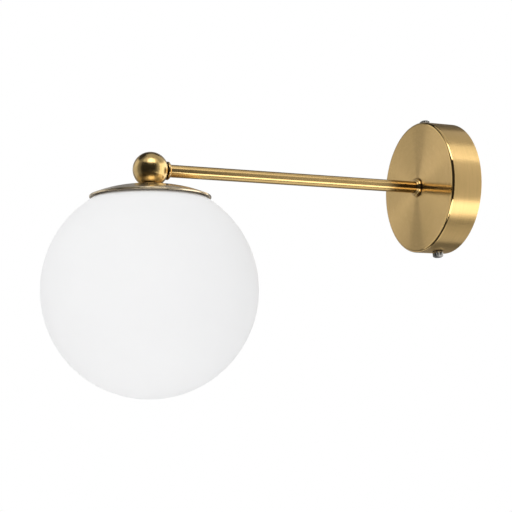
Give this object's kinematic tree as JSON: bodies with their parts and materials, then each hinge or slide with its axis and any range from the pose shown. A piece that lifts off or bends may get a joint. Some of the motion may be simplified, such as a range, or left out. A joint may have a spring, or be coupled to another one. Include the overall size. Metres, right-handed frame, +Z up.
{
  "type": "globe wall sconce",
  "caption": "Wall light: round canopy, straight arm, ball knuckle and shallow cap carrying an opal glass globe that pulls off spring clips.",
  "frame": {"origin": "centre of the wall bracket's back face, on the wall plane", "axes": "+Z up, +Y into the wall, the arm runs along -Y from the wall to the ball"},
  "size_m": [0.15, 0.315, 0.2137],
  "materials": {
    "brushed_brass": "brushed antique brass, spun lines",
    "satin_brass": "satin antique brass, drawn lines",
    "polished_brass": "polished antique brass",
    "opal_glass": "satin opal, triplex",
    "nickel": "bright nickel plate",
    "zinc_steel": "zinc plated",
    "spring_steel": "tempered spring steel",
    "white_plastic": "moulded, matt",
    "white_ceramic": "unglazed steatite",
    "plain_brass": "turned, bare",
    "bulb_tin": "tinned",
    "black_vitrite": "fused glass insulator, modelled as gloss plastic",
    "opal_bulb": "opal",
    "clear_white_plastic": "moulded polyamide",
    "tinned_copper": "tinned",
    "brown_wire": "insulation",
    "blue_wire": "insulation",
    "green_yellow_wire": "green and yellow insulation"
  },
  "bodies": {
    "fixture": {"canopy_cover": "brushed_brass", "wall_bracket": "zinc_steel", "wall_collar": "polished_brass", "arm_rod": "satin_brass", "rod_lock_washer": "zinc_steel", "rod_nut": "zinc_steel", "ball_collar": "polished_brass", "ball_knuckle": "brushed_brass", "ball_nipple": "zinc_steel", "globe_cap": "satin_brass", "glass_holder": "zinc_steel", "glass_clips": "spring_steel", "clip_rivets": "zinc_steel", "cap_lock_washer": "zinc_steel", "cap_nut": "zinc_steel", "lampholder_cap": "white_plastic", "lampholder_skirt": "white_plastic", "lampholder_insert": "white_ceramic", "lampholder_terminals": "plain_brass", "lampholder_thread_shell": "plain_brass", "lampholder_contact": "plain_brass", "terminal_block": "clear_white_plastic", "terminal_inserts": "plain_brass", "terminal_screws": "zinc_steel", "block_screws": "zinc_steel", "earth_tag": "tinned_copper", "earth_washer": "zinc_steel", "earth_screw": "zinc_steel", "live_wire": "brown_wire", "neutral_wire": "blue_wire", "earth_wire": "green_yellow_wire"},
    "globe": {"globe_glass": "opal_glass"},
    "bulb": {"bulb_contact": "bulb_tin", "bulb_insulator": "black_vitrite", "bulb_cap": "nickel", "bulb_collar": "white_plastic", "bulb_envelope": "opal_bulb"},
    "top_screw": {"thumb_screw_top": "nickel"},
    "bottom_screw": {"thumb_screw_bottom": "nickel"}
  },
  "joints": [
    {"name": "globe_pull", "type": "slide", "parent": "fixture", "child": "globe", "axis": [0, 0, -1], "range_m": [0, 0.114], "deforming": ["glass_clips"]},
    {"name": "bulb_turn", "type": "hinge", "parent": "fixture", "child": "bulb", "pos_m": [0, -0.24, -0.06], "axis": [0, 0, -1], "range_deg": [0, 1800]},
    {"name": "top_screw_turn", "type": "hinge", "parent": "fixture", "child": "top_screw", "pos_m": [-0.00653, -0.0125, 0.04957], "axis": [-0.1305, 0, 0.9914], "range_deg": [0, 3600]},
    {"name": "bottom_screw_turn", "type": "hinge", "parent": "fixture", "child": "bottom_screw", "pos_m": [0.00653, -0.0125, -0.04957], "axis": [0.1305, 0, -0.9914], "range_deg": [0, 3600]}
  ]
}
